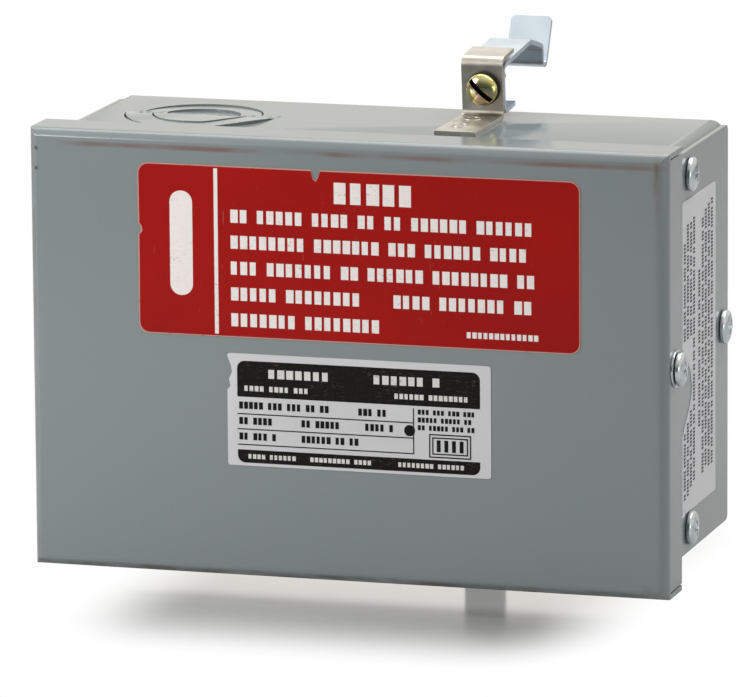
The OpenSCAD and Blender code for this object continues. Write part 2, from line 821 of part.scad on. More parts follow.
module side_sticker() {
    color("gainsboro")
        translate([box_x + box_w / 2, -side_label_back - side_label_w / 2,
            (label_top + label_bottom) / 2])
            rotate([90, 0, 90]) linear_extrude(label_t)
                round_rect(side_label_w, label_top - label_bottom, 1);
}

body_shell();
end_plate(-1);  // left_end_plate
end_plate(1);  // right_end_plate
front_cover();
plate_screws(-1);  // left_plate_screws
plate_screws(1);  // right_plate_screws
cover_screw();
cover_washer();
clamp_bracket();
clamp_hook();
clamp_screw();
clamp_washer();
lower_hook();
plug_head();
plug_head_screws();
blade(pole_x[0], 0);  // phase_blade_a
blade(pole_x[1], 0);  // phase_blade_b
blade(pole_x[2], 0);  // phase_blade_c
blade(ground_pole_x, ground_extra);  // ground_blade
phase_strap(0);  // phase_strap_a
phase_strap(1);  // phase_strap_b
phase_strap(2);  // phase_strap_c
strap_screws();
terminal_block();
terminal_block_screws();
terminal_lug(0);  // terminal_lug_a
terminal_lug(1);  // terminal_lug_b
terminal_lug(2);  // terminal_lug_c
lug_screws();
ground_strap();
ground_lug();
ground_screws();
red_sticker();
rating_plate();
side_sticker();
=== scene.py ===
import json
import math
import random

import bmesh
import bpy
from mathutils import Matrix, Vector
from mathutils.geometry import tessellate_polygon

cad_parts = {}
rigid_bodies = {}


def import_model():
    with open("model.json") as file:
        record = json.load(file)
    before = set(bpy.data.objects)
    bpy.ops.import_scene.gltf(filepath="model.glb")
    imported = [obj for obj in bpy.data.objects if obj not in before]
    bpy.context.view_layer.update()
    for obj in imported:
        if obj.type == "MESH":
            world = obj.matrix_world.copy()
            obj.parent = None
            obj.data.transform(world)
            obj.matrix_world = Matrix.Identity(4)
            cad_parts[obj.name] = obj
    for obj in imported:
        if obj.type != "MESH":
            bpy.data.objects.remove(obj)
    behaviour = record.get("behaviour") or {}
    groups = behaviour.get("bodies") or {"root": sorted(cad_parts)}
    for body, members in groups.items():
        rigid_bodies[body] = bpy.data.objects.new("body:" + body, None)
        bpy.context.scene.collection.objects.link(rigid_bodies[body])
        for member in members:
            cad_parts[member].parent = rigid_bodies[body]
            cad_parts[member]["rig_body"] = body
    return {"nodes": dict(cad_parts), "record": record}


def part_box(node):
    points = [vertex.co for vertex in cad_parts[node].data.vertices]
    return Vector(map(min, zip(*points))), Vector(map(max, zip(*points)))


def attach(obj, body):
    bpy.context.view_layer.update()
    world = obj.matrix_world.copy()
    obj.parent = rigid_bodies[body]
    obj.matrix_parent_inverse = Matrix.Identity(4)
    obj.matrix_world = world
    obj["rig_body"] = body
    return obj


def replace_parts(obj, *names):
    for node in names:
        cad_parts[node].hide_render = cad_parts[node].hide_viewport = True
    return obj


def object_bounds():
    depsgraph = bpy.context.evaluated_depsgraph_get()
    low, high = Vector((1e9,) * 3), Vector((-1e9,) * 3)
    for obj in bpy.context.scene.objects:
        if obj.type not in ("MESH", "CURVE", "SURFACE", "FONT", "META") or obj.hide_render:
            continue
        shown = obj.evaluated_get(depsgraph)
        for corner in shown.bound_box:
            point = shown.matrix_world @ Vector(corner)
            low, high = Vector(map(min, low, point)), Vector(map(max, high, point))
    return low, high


# A sheet-steel tap off box for a small busway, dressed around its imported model.
# Sizes are in millimetres and become metres through MM.

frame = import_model()
CAD_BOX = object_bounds()
MM = 0.001

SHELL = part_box("body_shell")
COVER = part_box("front_cover")
SHEET = 1.5

# The clamp screw's seat and its own directions: out of its head, across it and up it. Its head
# stands off the bracket by its washer and a hair's gap.
SCREW = next(j for j in frame["record"]["behaviour"]["joints"] if j["name"] == "screw_turn")
SCREW_OUT = Vector(SCREW["axis"])
SCREW_ACROSS = Vector((1, 0, 0))
SCREW_UP = SCREW_OUT.cross(SCREW_ACROSS)
HEAD_OFF = 0.93
SCREW_SEAT = Vector(SCREW["pos_m"]) + SCREW_OUT * HEAD_OFF * MM
SLOT_TURN = math.radians(-44)
SLOT_FLOOR = 1.9


# ---------------------------------------------------------------- small helpers

def linear(hex_colour):
    """An sRGB hex colour as linear RGBA."""
    parts = [int(hex_colour[i:i + 2], 16) / 255 for i in (1, 3, 5)]
    return [c / 12.92 if c <= 0.04045 else ((c + 0.055) / 1.055) ** 2.4 for c in parts] + [1]


def per_mm(size):
    """The texture scale at which one feature is about this many millimetres."""
    return 1000 / size


def add(tree, kind, inputs=None, **settings):
    """Adds one node with its settings, and links or fills its inputs."""
    node = tree.nodes.new(kind)
    for name, value in settings.items():
        setattr(node, name, value)
    for socket, value in (inputs or {}).items():
        if isinstance(value, bpy.types.Node):
            value = value.outputs[0]
        if isinstance(value, bpy.types.NodeSocket):
            tree.links.new(value, node.inputs[socket])
        else:
            node.inputs[socket].default_value = value
    return node


def link(tree, source, node, socket):
    """Links a node's first output, or the socket given, to one of another node's inputs."""
    output = source.outputs[0] if isinstance(source, bpy.types.Node) else source
    tree.links.new(output, node.inputs[socket])


def product(tree, *factors):
    """The product of several masks."""
    result = factors[0]
    for factor in factors[1:]:
        result = add(tree, "ShaderNodeMath", {0: result, 1: factor}, operation="MULTIPLY")
    return result


def toned(tree, mask, under, over):
    """One colour laid over another where the mask is 1."""
    return add(tree, "ShaderNodeMix", {0: mask, 6: under, 7: over}, data_type="RGBA").outputs[2]


def near(tree, value, middle, half, soft):
    """A mask that is 1 within half of the middle and fades out over soft, all in millimetres."""
    away = add(tree, "ShaderNodeMath", {0: value, 1: middle * MM}, operation="SUBTRACT")
    away = add(tree, "ShaderNodeMath", {0: away}, operation="ABSOLUTE")
    return add(tree, "ShaderNodeMapRange", {"Value": away, "From Min": (half + soft) * MM,
               "From Max": half * MM}, interpolation_type="SMOOTHSTEP")


def patches(tree, place, size, low, high, detail=3, stretch=(1, 1, 1)):
    """Irregular patches of about this size, from 0 where the noise is low to 1 where it is high."""
    stretched = add(tree, "ShaderNodeMapping", {"Vector": place, "Scale": stretch})
    cloud = add(tree, "ShaderNodeTexNoise",
                {"Vector": stretched, "Scale": per_mm(size), "Detail": detail})
    return add(tree, "ShaderNodeMapRange", {"Value": cloud, "From Min": low, "From Max": high})


def new_material(name):
    """A material with a Principled shader; returns it, its tree, the shader and Object coordinates."""
    material = bpy.data.materials.new(name)
    material.use_nodes = True
    tree = material.node_tree
    tree.nodes.clear()
    shader = add(tree, "ShaderNodeBsdfPrincipled")
    add(tree, "ShaderNodeOutputMaterial", {"Surface": shader})
    return material, tree, shader, add(tree, "ShaderNodeTexCoord").outputs["Object"]


def roughen(tree, shader, height, depth):
    """Gives the shader a bump of this depth in millimetres."""
    bump = add(tree, "ShaderNodeBump", {"Height": height, "Distance": depth * MM, "Strength": 1.0})
    link(tree, bump, shader, "Normal")


def linked(name, data):
    """A new object in the scene with this mesh, light or camera."""
    thing = bpy.data.objects.new(name, data)
    bpy.context.scene.collection.objects.link(thing)
    return thing


# ---------------------------------------------------------------- materials

def enamel_base(tree, shader, place):
    """Stoved enamel: sprayed on, so an even grey with a faint orange peel under a semi-gloss skin."""
    drift = patches(tree, place, 90, 0.3, 0.7, detail=1)
    grey = toned(tree, drift, linear("#848d8e"), linear("#889091"))
    dust = patches(tree, place, 0.9, 0.68, 0.76, detail=4)
    grey = toned(tree, product(tree, dust, 0.25), grey, linear("#6d7272"))
    rub = patches(tree, place, 40, 0.3, 0.7, detail=2)
    gloss = add(tree, "ShaderNodeMapRange", {"Value": rub, "To Min": 0.12, "To Max": 0.16})
    link(tree, gloss, shader, "Roughness")
    shader.inputs["IOR"].default_value = 1.5
    peel = add(tree, "ShaderNodeTexNoise", {"Vector": place, "Scale": per_mm(2.4), "Detail": 1})
    roughen(tree, shader, peel, 0.006)
    return grey


def baked_enamel():
    """The grey enamel of the box and its end plates."""
    material, tree, shader, place = new_material("baked_grey_enamel")
    link(tree, enamel_base(tree, shader, place), shader, "Base Color")
    return material


def handled_enamel():
    """The same enamel on the cover, rubbed along its top bend and scuffed along its bottom edge."""
    material, tree, shader, place = new_material("handled_grey_enamel")
    grey = enamel_base(tree, shader, place)
    axes = add(tree, "ShaderNodeSeparateXYZ", {"Vector": place}).outputs
    top, bottom = COVER[1].z / MM, COVER[0].z / MM
    left, right, front = COVER[0].x / MM, COVER[1].x / MM, COVER[0].y / MM
    face = near(tree, axes[1], front, 1.6, 1.6)
    rub = product(tree, near(tree, axes[2], top - 3.8, 0.2, 0.8), face,
                  near(tree, axes[0], (left + right) / 2 + 4, 78, 12),
                  patches(tree, place, 6, 0.3, 0.62, stretch=(0.3, 1, 1)))
    stain = product(tree, near(tree, axes[0], right - 3.3, 0.1, 1.3), face,
                    near(tree, axes[2], top - 10, 5, 7),
                    patches(tree, place, 2.4, 0.34, 0.7, detail=2, stretch=(1, 1, 0.3)))
    seam = product(tree, near(tree, axes[0], left + 1.2, 0.2, 0.7), face,
                   patches(tree, place, 5, 0.35, 0.6, stretch=(1, 1, 0.3)))
    scuff = product(tree, near(tree, axes[2], bottom + 0.9, 0.4, 1.1), face,
                    patches(tree, place, 4, 0.36, 0.62, stretch=(0.3, 1, 1)))
    corner = product(tree, near(tree, axes[2], bottom + 2.6, 0.6, 2), face,
                     near(tree, axes[0], right - 5, 1, 5), patches(tree, place, 3.4, 0.3, 0.7))
    dots = [product(tree, face, near(tree, axes[0], left + 2.4, 0.3, 0.4),
                    near(tree, axes[2], top - drop, 0.3, 0.4)) for drop in (5.5, 11.2)]
    marks = [(rub, 0.7, "#7d5551"), (stain, 0.6, "#6b5341"), (seam, 0.4, "#6f5a49"),
             (scuff, 0.75, "#504c44"), (corner, 0.35, "#5f5a4c")]
    marks += [(dot, 0.7, "#3d3732") for dot in dots]
    for mask, amount, colour in marks:
        grey = toned(tree, product(tree, mask, amount), grey, linear(colour))
    link(tree, grey, shader, "Base Color")
    return material


def slot_painted_shade(tree, place):
    """A mask that is 1 inside the clamp screw's slot, where painted shade darkens it to near-black."""
    from_seat = add(tree, "ShaderNodeVectorMath", {0: place, 1: SCREW_SEAT}, operation="SUBTRACT")
    sideways = SCREW_UP * math.cos(SLOT_TURN) - SCREW_ACROSS * math.sin(SLOT_TURN)
    off = add(tree, "ShaderNodeVectorMath", {0: from_seat, 1: sideways}, operation="DOT_PRODUCT")
    height = add(tree, "ShaderNodeVectorMath", {0: from_seat, 1: SCREW_OUT}, operation="DOT_PRODUCT")
    return product(tree, near(tree, off.outputs["Value"], 0, 0.7, 0.03),
                   near(tree, height.outputs["Value"], SLOT_FLOOR + 1.6, 1.65, 0.1))


def plated(name, colours, rough, grain=2.0, metal=1.0, painted_shade=None):
    """Electroplated steel: zinc over drawn or rolled steel, clouded where the passivation is thicker."""
    material, tree, shader, place = new_material(name)
    cloud = patches(tree, place, grain, 0.3, 0.7, detail=3)
    colour = toned(tree, cloud, linear(colours[0]), linear(colours[1]))
    if len(colours) > 2:
        tint = patches(tree, place, grain * 1.7, 0.46, 0.66, detail=2)
        colour = toned(tree, product(tree, tint, 0.7), colour, linear(colours[2]))
    if painted_shade:
        # Where the mask is 1 the colour turns near-black: painted shade for the depth of a recess such as
        # the screw's slot.
        colour = toned(tree, painted_shade(tree, place), colour, linear("#16130f"))
    link(tree, colour, shader, "Base Color")
    shader.inputs["Metallic"].default_value = metal
    gloss = add(tree, "ShaderNodeMapRange", {"Value": cloud, "To Min": rough[0], "To Max": rough[1]})
    link(tree, gloss, shader, "Roughness")
    return material


def rolled_copper():
    """Rolled copper bar: long rolling lines and brown tarnish."""
    material, tree, shader, place = new_material("rolled_copper")
    lines = patches(tree, place, 1.2, 0.35, 0.65, stretch=(3, 3, 0.15))
    tarnish = patches(tree, place, 6, 0.45, 0.7)
    colour = toned(tree, lines, linear("#c98a63"), linear("#b5754f"))
    colour = toned(tree, product(tree, tarnish, 0.6), colour, linear("#7d4a33"))
    link(tree, colour, shader, "Base Color")
    shader.inputs["Metallic"].default_value = 1.0
    gloss = add(tree, "ShaderNodeMapRange", {"Value": tarnish, "To Min": 0.26, "To Max": 0.45})
    link(tree, gloss, shader, "Roughness")
    roughen(tree, shader, lines, 0.006)
    return material


def moulded_phenolic():
    """Compression-moulded phenolic: dense dark brown with a fine mottle of filler."""
    material, tree, shader, place = new_material("moulded_phenolic")
    filler = patches(tree, place, 0.9, 0.45, 0.7, detail=4)
    colour = toned(tree, product(tree, filler, 0.6), linear("#33221a"), linear("#4a3326"))
    link(tree, colour, shader, "Base Color")
    shader.inputs["Roughness"].default_value = 0.42
    roughen(tree, shader, filler, 0.01)
    return material


def printed_film(name, colour, worn, rough, creases=0.5):
    """Screen-printed vinyl film: even ink, creased, scratched and specked by handling."""
    material, tree, shader, place = new_material(name)
    drift = patches(tree, place, 30, 0.3, 0.7, detail=1)
    ink = toned(tree, drift, linear(colour[0]), linear(colour[1]))
    scratch = patches(tree, place, 0.3, 0.68, 0.73, detail=2, stretch=(1, 1, 0.06))
    scratch = product(tree, scratch, patches(tree, place, 16, 0.54, 0.64), creases)
    speck = product(tree, patches(tree, place, 0.6, 0.72, 0.77), creases)
    for mask in (scratch, speck):
        ink = toned(tree, mask, ink, linear(worn))
    link(tree, ink, shader, "Base Color")
    shader.inputs["Roughness"].default_value = rough
    shader.inputs["IOR"].default_value = 1.25
    fine = add(tree, "ShaderNodeTexNoise", {"Vector": place, "Scale": per_mm(3), "Detail": 2})
    roughen(tree, shader, fine, 0.01)
    return material


def screen_ink(name, colour, worn, amount):
    """Screen-printed ink: flat and matt, rubbed through in fine scratches."""
    material, tree, shader, place = new_material(name)
    scratch = patches(tree, place, 0.4, 0.6, 0.68, detail=3, stretch=(0.3, 1, 1))
    wear = product(tree, scratch, patches(tree, place, 9, 0.45, 0.6), amount)
    grain = product(tree, patches(tree, place, 0.5, 0.55, 0.75), 0.3 * amount)
    ink = toned(tree, wear, linear(colour), linear(worn))
    ink = toned(tree, grain, ink, linear(worn))
    link(tree, ink, shader, "Base Color")
    shader.inputs["Roughness"].default_value = 0.5
    shader.inputs["IOR"].default_value = 1.25
    return material


ENAMEL = baked_enamel()
COVER_ENAMEL = handled_enamel()
BRIGHT_ZINC = plated("clear_zinc_plate", ["#c2cfda", "#cbd7e1", "#bac6d2"], (0.28, 0.33), grain=7)
SCREW_ZINC = plated("screw_zinc_plate", ["#c0c9cc", "#cdd4d6", "#aab5ba"], (0.2, 0.28), grain=1.6)
WARM_ZINC = plated("warm_zinc_plate", ["#b6b3ab", "#bfbcb4", "#a9a298"], (0.34, 0.42), grain=4)
# The yellow zinc is darkened with painted shade inside the clamp screw's slot.
YELLOW_ZINC = plated("yellow_chromate_zinc", ["#d6c25c", "#c3cf9c", "#b98f9a"], (0.12, 0.2), grain=2.4,
                     painted_shade=slot_painted_shade)
DARK_STEEL = plated("oiled_spring_steel", ["#4a4642", "#37332f"], (0.35, 0.5))
TIN_PLATE = plated("tin_plate", ["#b9b9b4", "#cbcac4"], (0.3, 0.42))
GREEN_ZINC = plated("green_dyed_zinc", ["#1f6b3f", "#2b7d4c"], (0.3, 0.42), metal=0.6)
COPPER = rolled_copper()
PHENOLIC = moulded_phenolic()
RED_FILM = printed_film("red_vinyl_film", ["#a8120c", "#9f100b"], "#c9877b", 0.34)
PLATE_FILM = printed_film("silver_white_film", ["#dcdcde", "#d6d6d8"], "#8f8983", 0.4, creases=0.4)
PAPER = printed_film("coated_paper", ["#dbdcdf", "#d6d7db"], "#a9a9a8", 0.55, creases=0.15)
WHITE_INK = screen_ink("white_screen_ink", "#f6efec", "#a84a3e", 0.4)
PLATE_WHITE_INK = screen_ink("white_plate_ink", "#e2e0dd", "#3a3634", 0.4)
BLACK_INK = screen_ink("black_screen_ink", "#0f0d0c", "#77726d", 0.25)
SMALL_INK = screen_ink("grey_small_print", "#3e3e42", "#8f8f92", 0.3)
WORN_FILM = screen_ink("worn_film_edge", "#c99a90", "#9c3a30", 0.6)

NODE_MATERIALS = {
    "body_shell": ENAMEL, "left_end_plate": ENAMEL, "right_end_plate": ENAMEL,
    "front_cover": COVER_ENAMEL, "left_plate_screws": SCREW_ZINC, "right_plate_screws": SCREW_ZINC,
    "cover_screw": SCREW_ZINC, "cover_washer": SCREW_ZINC,
    "clamp_bracket": WARM_ZINC, "lower_hook": WARM_ZINC, "clamp_hook": BRIGHT_ZINC,
    "clamp_screw": YELLOW_ZINC, "clamp_washer": DARK_STEEL, "plug_head": PHENOLIC,
    "plug_head_screws": SCREW_ZINC, "phase_blade_a": COPPER, "phase_blade_b": COPPER,
    "phase_blade_c": COPPER, "ground_blade": COPPER, "phase_strap_a": COPPER,
    "phase_strap_b": COPPER, "phase_strap_c": COPPER, "ground_strap": COPPER,
    "strap_screws": SCREW_ZINC, "terminal_block": PHENOLIC, "terminal_block_screws": SCREW_ZINC,
    "terminal_lug_a": TIN_PLATE, "terminal_lug_b": TIN_PLATE, "terminal_lug_c": TIN_PLATE,
    "lug_screws": SCREW_ZINC, "ground_lug": TIN_PLATE, "ground_screws": GREEN_ZINC,
    "red_sticker": RED_FILM, "rating_plate": PLATE_FILM, "side_sticker": PAPER,
}


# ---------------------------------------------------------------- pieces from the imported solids

def shown(name, mesh, node, material):
    """Links a finished mesh as a piece that rides with a node's body."""
    piece = linked(name, mesh)
    mesh.materials.clear()
    mesh.materials.append(material)
    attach(piece, frame["nodes"][node]["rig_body"])
    return piece


def plain_mesh(holder):
    """The holder's mesh with its modifiers applied; the holder is removed."""
    graph = bpy.context.evaluated_depsgraph_get()
    mesh = bpy.data.meshes.new_from_object(holder.evaluated_get(graph), depsgraph=graph)
    bpy.data.objects.remove(holder)
    return mesh


def merged_copy(node):
    """A copy of a node's mesh with its loose triangles joined into flat faces."""
    shape = bmesh.new()
    shape.from_mesh(frame["nodes"][node].data)
    bmesh.ops.remove_doubles(shape, verts=shape.verts, dist=0.002 * MM)
    bmesh.ops.dissolve_limit(shape, angle_limit=math.radians(0.5), verts=shape.verts, edges=shape.edges)
    mesh = bpy.data.meshes.new(node + "_merged")
    shape.to_mesh(mesh)
    shape.free()
    return mesh


def softened(mesh, edge):
    """The mesh with its sharp edges rounded over, as deburred sheet and mouldings are."""
    holder = linked("holder", mesh)
    bevel = holder.modifiers.new("edges", "BEVEL")
    bevel.width = edge * MM
    bevel.segments = 2
    bevel.limit_method = "ANGLE"
    bevel.angle_limit = math.radians(32)
    bevel.use_clamp_overlap = True
    mesh = plain_mesh(holder)
    mesh.shade_smooth()
    holder = linked("holder", mesh)
    holder.modifiers.new("even", "WEIGHTED_NORMAL").keep_sharp = True
    return plain_mesh(holder)


# How far each piece's edges are rounded over, in millimetres.
EDGES = {"front_cover": 0.15, "body_shell": 0.12, "left_end_plate": 0.25, "right_end_plate": 0.25,
         "clamp_bracket": 0.2, "clamp_hook": 0.2, "lower_hook": 0.2, "plug_head": 0.4,
         "terminal_block": 0.4, "ground_lug": 0.3, "terminal_lug_a": 0.3, "terminal_lug_b": 0.3,
         "terminal_lug_c": 0.3, "phase_blade_a": 0.35, "phase_blade_b": 0.35, "phase_blade_c": 0.35,
         "ground_blade": 0.35, "phase_strap_a": 0.2, "phase_strap_b": 0.2, "phase_strap_c": 0.2,
         "ground_strap": 0.2, "clamp_washer": 0.12, "cover_washer": 0.12}
# Nodes whose pieces are made anew further down.
REMADE = ("left_plate_screws", "right_plate_screws", "cover_screw", "clamp_screw",
          "red_sticker", "rating_plate", "side_sticker")


def mesh_from(shape, name):
    """A finished bmesh as a mesh with its faces outward."""
    bmesh.ops.recalc_face_normals(shape, faces=shape.faces)
    mesh = bpy.data.meshes.new(name)
    shape.to_mesh(mesh)
    shape.free()
    return mesh


def lathe(profile, steps=64):
    """A solid of revolution about Z from its profile of (radius, height) points in millimetres."""
    shape = bmesh.new()
    points = [shape.verts.new((r * MM, 0, z * MM)) for r, z in profile]
    edges = [shape.edges.new(pair) for pair in zip(points, points[1:])]
    bmesh.ops.spin(shape, geom=points + edges, cent=(0, 0, 0), axis=(0, 0, 1),
                   angle=math.tau, steps=steps, use_duplicate=False)
    bmesh.ops.remove_doubles(shape, verts=shape.verts, dist=0.0005 * MM)
    return mesh_from(shape, "turned")


def wedge(top, bottom, z_top, z_bottom):
    """A tapered block from (length, width) at the top to (length, width) at the bottom."""
    shape = bmesh.new()
    for (length, width), z in ((top, z_top), (bottom, z_bottom)):
        for sx in (-1, 1):
            for sy in (-1, 1):
                shape.verts.new((sx * length / 2 * MM, sy * width / 2 * MM, z * MM))
    bmesh.ops.convex_hull(shape, input=shape.verts)
    return mesh_from(shape, "wedge")


def carved(mesh, cutter):
    """The mesh with the cutter's shape taken out of it."""
    tool = linked("cutter", cutter)
    holder = linked("holder", mesh)
    cut = holder.modifiers.new("cut", "BOOLEAN")
    cut.operation = "DIFFERENCE"
    cut.solver = "EXACT"
    cut.object = tool
    mesh = plain_mesh(holder)
    bpy.data.objects.remove(tool)
    return mesh


def joined(*meshes):
    """Several meshes as one."""
    shape = bmesh.new()
    for mesh in meshes:
        shape.from_mesh(mesh)
    whole = bpy.data.meshes.new("joined")
    shape.to_mesh(whole)
    shape.free()
    return whole


def smoothed(mesh, degrees):
    """The mesh shaded smooth, apart from edges that turn by more than this."""
    mesh.shade_smooth()
    mesh.set_sharp_from_angle(angle=math.radians(degrees))
    return mesh


# ---------------------------------------------------------------- geometry nodes for what repeats

def new_tree(name, inputs):
    """A geometry node tree with these (name, kind) inputs; returns it, its input and output nodes."""
    tree = bpy.data.node_groups.new(name, "GeometryNodeTree")
    tree.interface.new_socket("Geometry", in_out="INPUT", socket_type="NodeSocketGeometry")
    for label, kind in inputs:
        tree.interface.new_socket(label, in_out="INPUT", socket_type=kind)
    tree.interface.new_socket("Geometry", in_out="OUTPUT", socket_type="NodeSocketGeometry")
    return tree, tree.nodes.new("NodeGroupInput"), tree.nodes.new("NodeGroupOutput")


def run_tree(tree, mesh, values):
    """The mesh after the tree has run over it with these input values."""
    holder = linked("holder", mesh)
    modifier = holder.modifiers.new("nodes", "NODES")
    modifier.node_group = tree
    for item in tree.interface.items_tree:
        if item.in_out == "INPUT" and item.name in values:
            modifier[item.identifier] = values[item.name]
    return plain_mesh(holder)


def repeat_tree():
    """Puts a turned and scaled copy of one object on every point."""
    tree, given, result = new_tree("repeat_on_points", [("Piece", "NodeSocketObject"),
                                                        ("Finish", "NodeSocketMaterial")])
    piece = add(tree, "GeometryNodeObjectInfo", {"Object": given.outputs["Piece"]})
    turn = add(tree, "GeometryNodeInputNamedAttribute", {"Name": "turn"}, data_type="FLOAT_VECTOR")
    size = add(tree, "GeometryNodeInputNamedAttribute", {"Name": "size"}, data_type="FLOAT_VECTOR")
    angle = add(tree, "FunctionNodeEulerToRotation", {0: turn.outputs["Attribute"]})
    copies = add(tree, "GeometryNodeInstanceOnPoints",
                 {"Points": given.outputs["Geometry"], "Instance": piece.outputs["Geometry"],
                  "Rotation": angle, "Scale": size.outputs["Attribute"]})
    real = add(tree, "GeometryNodeRealizeInstances", {0: copies})
    finish = add(tree, "GeometryNodeSetMaterial",
                 {"Geometry": real, "Material": given.outputs["Finish"]})
    tree.links.new(finish.outputs[0], result.inputs[0])
    return tree


def thread_tree():
    """A helical ridge round Z, from Z = 0 up."""
    sizes = [(label, "NodeSocketFloat") for label in ("Radius", "Ridge", "Pitch", "Length")]
    tree, given, result = new_tree("screw_thread", sizes + [("Finish", "NodeSocketMaterial")])
    turns = add(tree, "ShaderNodeMath", {0: given.outputs["Length"], 1: given.outputs["Pitch"]},
                operation="DIVIDE")
    helix = add(tree, "GeometryNodeCurveSpiral",
                {"Resolution": 24, "Rotations": turns, "Start Radius": given.outputs["Radius"],
                 "End Radius": given.outputs["Radius"], "Height": given.outputs["Length"]})
    ridge = add(tree, "GeometryNodeCurvePrimitiveCircle",
                {"Resolution": 3, "Radius": given.outputs["Ridge"]})
    swept = add(tree, "GeometryNodeCurveToMesh",
                {"Curve": helix, "Profile Curve": ridge, "Fill Caps": True})
    real = add(tree, "GeometryNodeRealizeInstances", {0: swept})
    finish = add(tree, "GeometryNodeSetMaterial",
                 {"Geometry": real, "Material": given.outputs["Finish"]})
    tree.links.new(finish.outputs[0], result.inputs[0])
    return tree


REPEAT = repeat_tree()
THREAD = thread_tree()


def repeated(master, rows, material):
    """Copies of the master mesh on rows of (place, turn, size), as one mesh."""
    points = bpy.data.meshes.new("points")
    points.from_pydata([row[0] for row in rows], [], [])
    for column, name in ((1, "turn"), (2, "size")):
        data = points.attributes.new(name, "FLOAT_VECTOR", "POINT").data
        for item, row in zip(data, rows):
            item.vector = row[column]
    piece = linked("master", master)
    mesh = run_tree(REPEAT, points, {"Piece": piece, "Finish": material})
    bpy.data.objects.remove(piece)
    return mesh


def thread(radius, ridge, pitch, low, high, material):
    """A thread's ridge on a shank of this radius, between two heights in millimetres."""
    sizes = {"Radius": radius * MM, "Ridge": ridge * MM, "Pitch": pitch * MM,
             "Length": (high - low) * MM, "Finish": material}
    mesh = run_tree(THREAD, bpy.data.meshes.new("start"), sizes)
    for vertex in mesh.vertices:
        vertex.co.z += low * MM
    return mesh


# ---------------------------------------------------------------- the box

KNOCKOUT_LEFT, KNOCKOUT_IN = 56, 29.5
KNOCKOUT = Vector(((SHELL[0].x + SHELL[1].x) / 2 - KNOCKOUT_LEFT * MM, -KNOCKOUT_IN * MM, SHELL[1].z))
RINGS = [d / 2 for d in (22.2, 28.2, 34.9, 44.0)]
SHEARED = 0.5                               # width of a sheared line
GROOVE = 1.4                                # its depth
TIE = 9                                     # degrees from a ring's side to the end of its line
TIE_DENT, DENT_OUT, DENT_BACK = 1.5, 1.3, 2.4   # depth and half sizes of the dent at a tie
INNER_SUNK, MIDDLE_SUNK, INNER_TIPPED = 1.0, 0.45, 0.35
LIFTS = ((325, 38, 0.8), (203, 24, 0.4))    # direction, spread and height of the outer ring's lifts
PATCH_R = 24.5


def knocked(r, angle):
    """How far the knockout's rings stand above or below the panel: each bends about its ties."""
    across, back = math.cos(math.radians(angle)), math.sin(math.radians(angle))
    dent = 0
    for ring, side in zip(RINGS, (-1, 1, -1, 1)):
        off = math.hypot((r * across - side * (ring - 0.3)) / DENT_OUT, r * back / DENT_BACK)
        dent -= TIE_DENT * max(0, 1 - off)
    if back >= 0:
        if r < RINGS[0]:
            return dent - INNER_SUNK * back ** 0.7 * r / RINGS[0]
        return dent - MIDDLE_SUNK * back ** 0.8 * r / RINGS[2] if r < RINGS[2] else dent
    lift = 0.05 * min(1, -back * 5)
    for middle, reach, height in LIFTS:
        lift += height * max(0, 1 - ((angle - middle) / reach) ** 2) ** 1.5
    tilt = lift * r / RINGS[3]
    if r < RINGS[1]:
        return dent + tilt + INNER_TIPPED * (-back) ** 0.8 * r / RINGS[1]
    return dent + tilt if r < RINGS[3] else dent


def in_groove(r, angle):
    """True inside a sheared line: the rings are cut by turns at the back and at the front."""
    for k, ring in enumerate(RINGS):
        start = TIE + (0 if k % 2 == 0 else 180)
        if ring - SHEARED < r < ring and start < angle < start + 180 - 2 * TIE:
            return True
    return False


def knockout_relief():
    """The patch of the top panel that holds the knockout, its rings pushed up and down."""
    radii = [0.5 + 1.5 * k for k in range(16)] + [PATCH_R]
    for ring in RINGS:
        radii += [ring - SHEARED - 0.02, ring - SHEARED + 0.02, ring - 0.02, ring + 0.02]
    radii.sort()
    steps = 240
    shape = bmesh.new()
    sides = []
    for under in (0, SHEET):
        rows = []
        for r in radii:
            row = []
            for k in range(steps):
                angle = 360 * k / steps
                z = knocked(r, angle) - under
                if in_groove(r, angle):
                    z = min(z, -GROOVE) if under == 0 else z - 0.02
                turn = math.radians(angle)
                row.append(shape.verts.new((r * math.cos(turn) * MM, r * math.sin(turn) * MM, z * MM)))
            rows.append(row)
        for inner, outer in zip(rows, rows[1:]):
            for k in range(steps):
                shape.faces.new((inner[k], outer[k], outer[(k + 1) % steps], inner[(k + 1) % steps]))
        shape.faces.new(rows[0])
        sides.append(rows[-1])
    for k in range(steps):
        shape.faces.new((sides[0][k], sides[1][k], sides[1][(k + 1) % steps], sides[0][(k + 1) % steps]))
    bmesh.ops.translate(shape, verts=shape.verts, vec=KNOCKOUT)
    return smoothed(mesh_from(shape, "knockout_relief"), 25)


def body_with_hole():
    """The body, deburred, without the patch that the knockout's relief fills."""
    tool = lathe([(0, -4), (PATCH_R, -4), (PATCH_R, 2), (0, 2)], 240)
    tool.transform(Matrix.Translation(KNOCKOUT))
    return carved(softened(merged_copy("body_shell"), EDGES["body_shell"]), tool)


TAB_CORNER = 1.3
TAB_RISE = 63.5


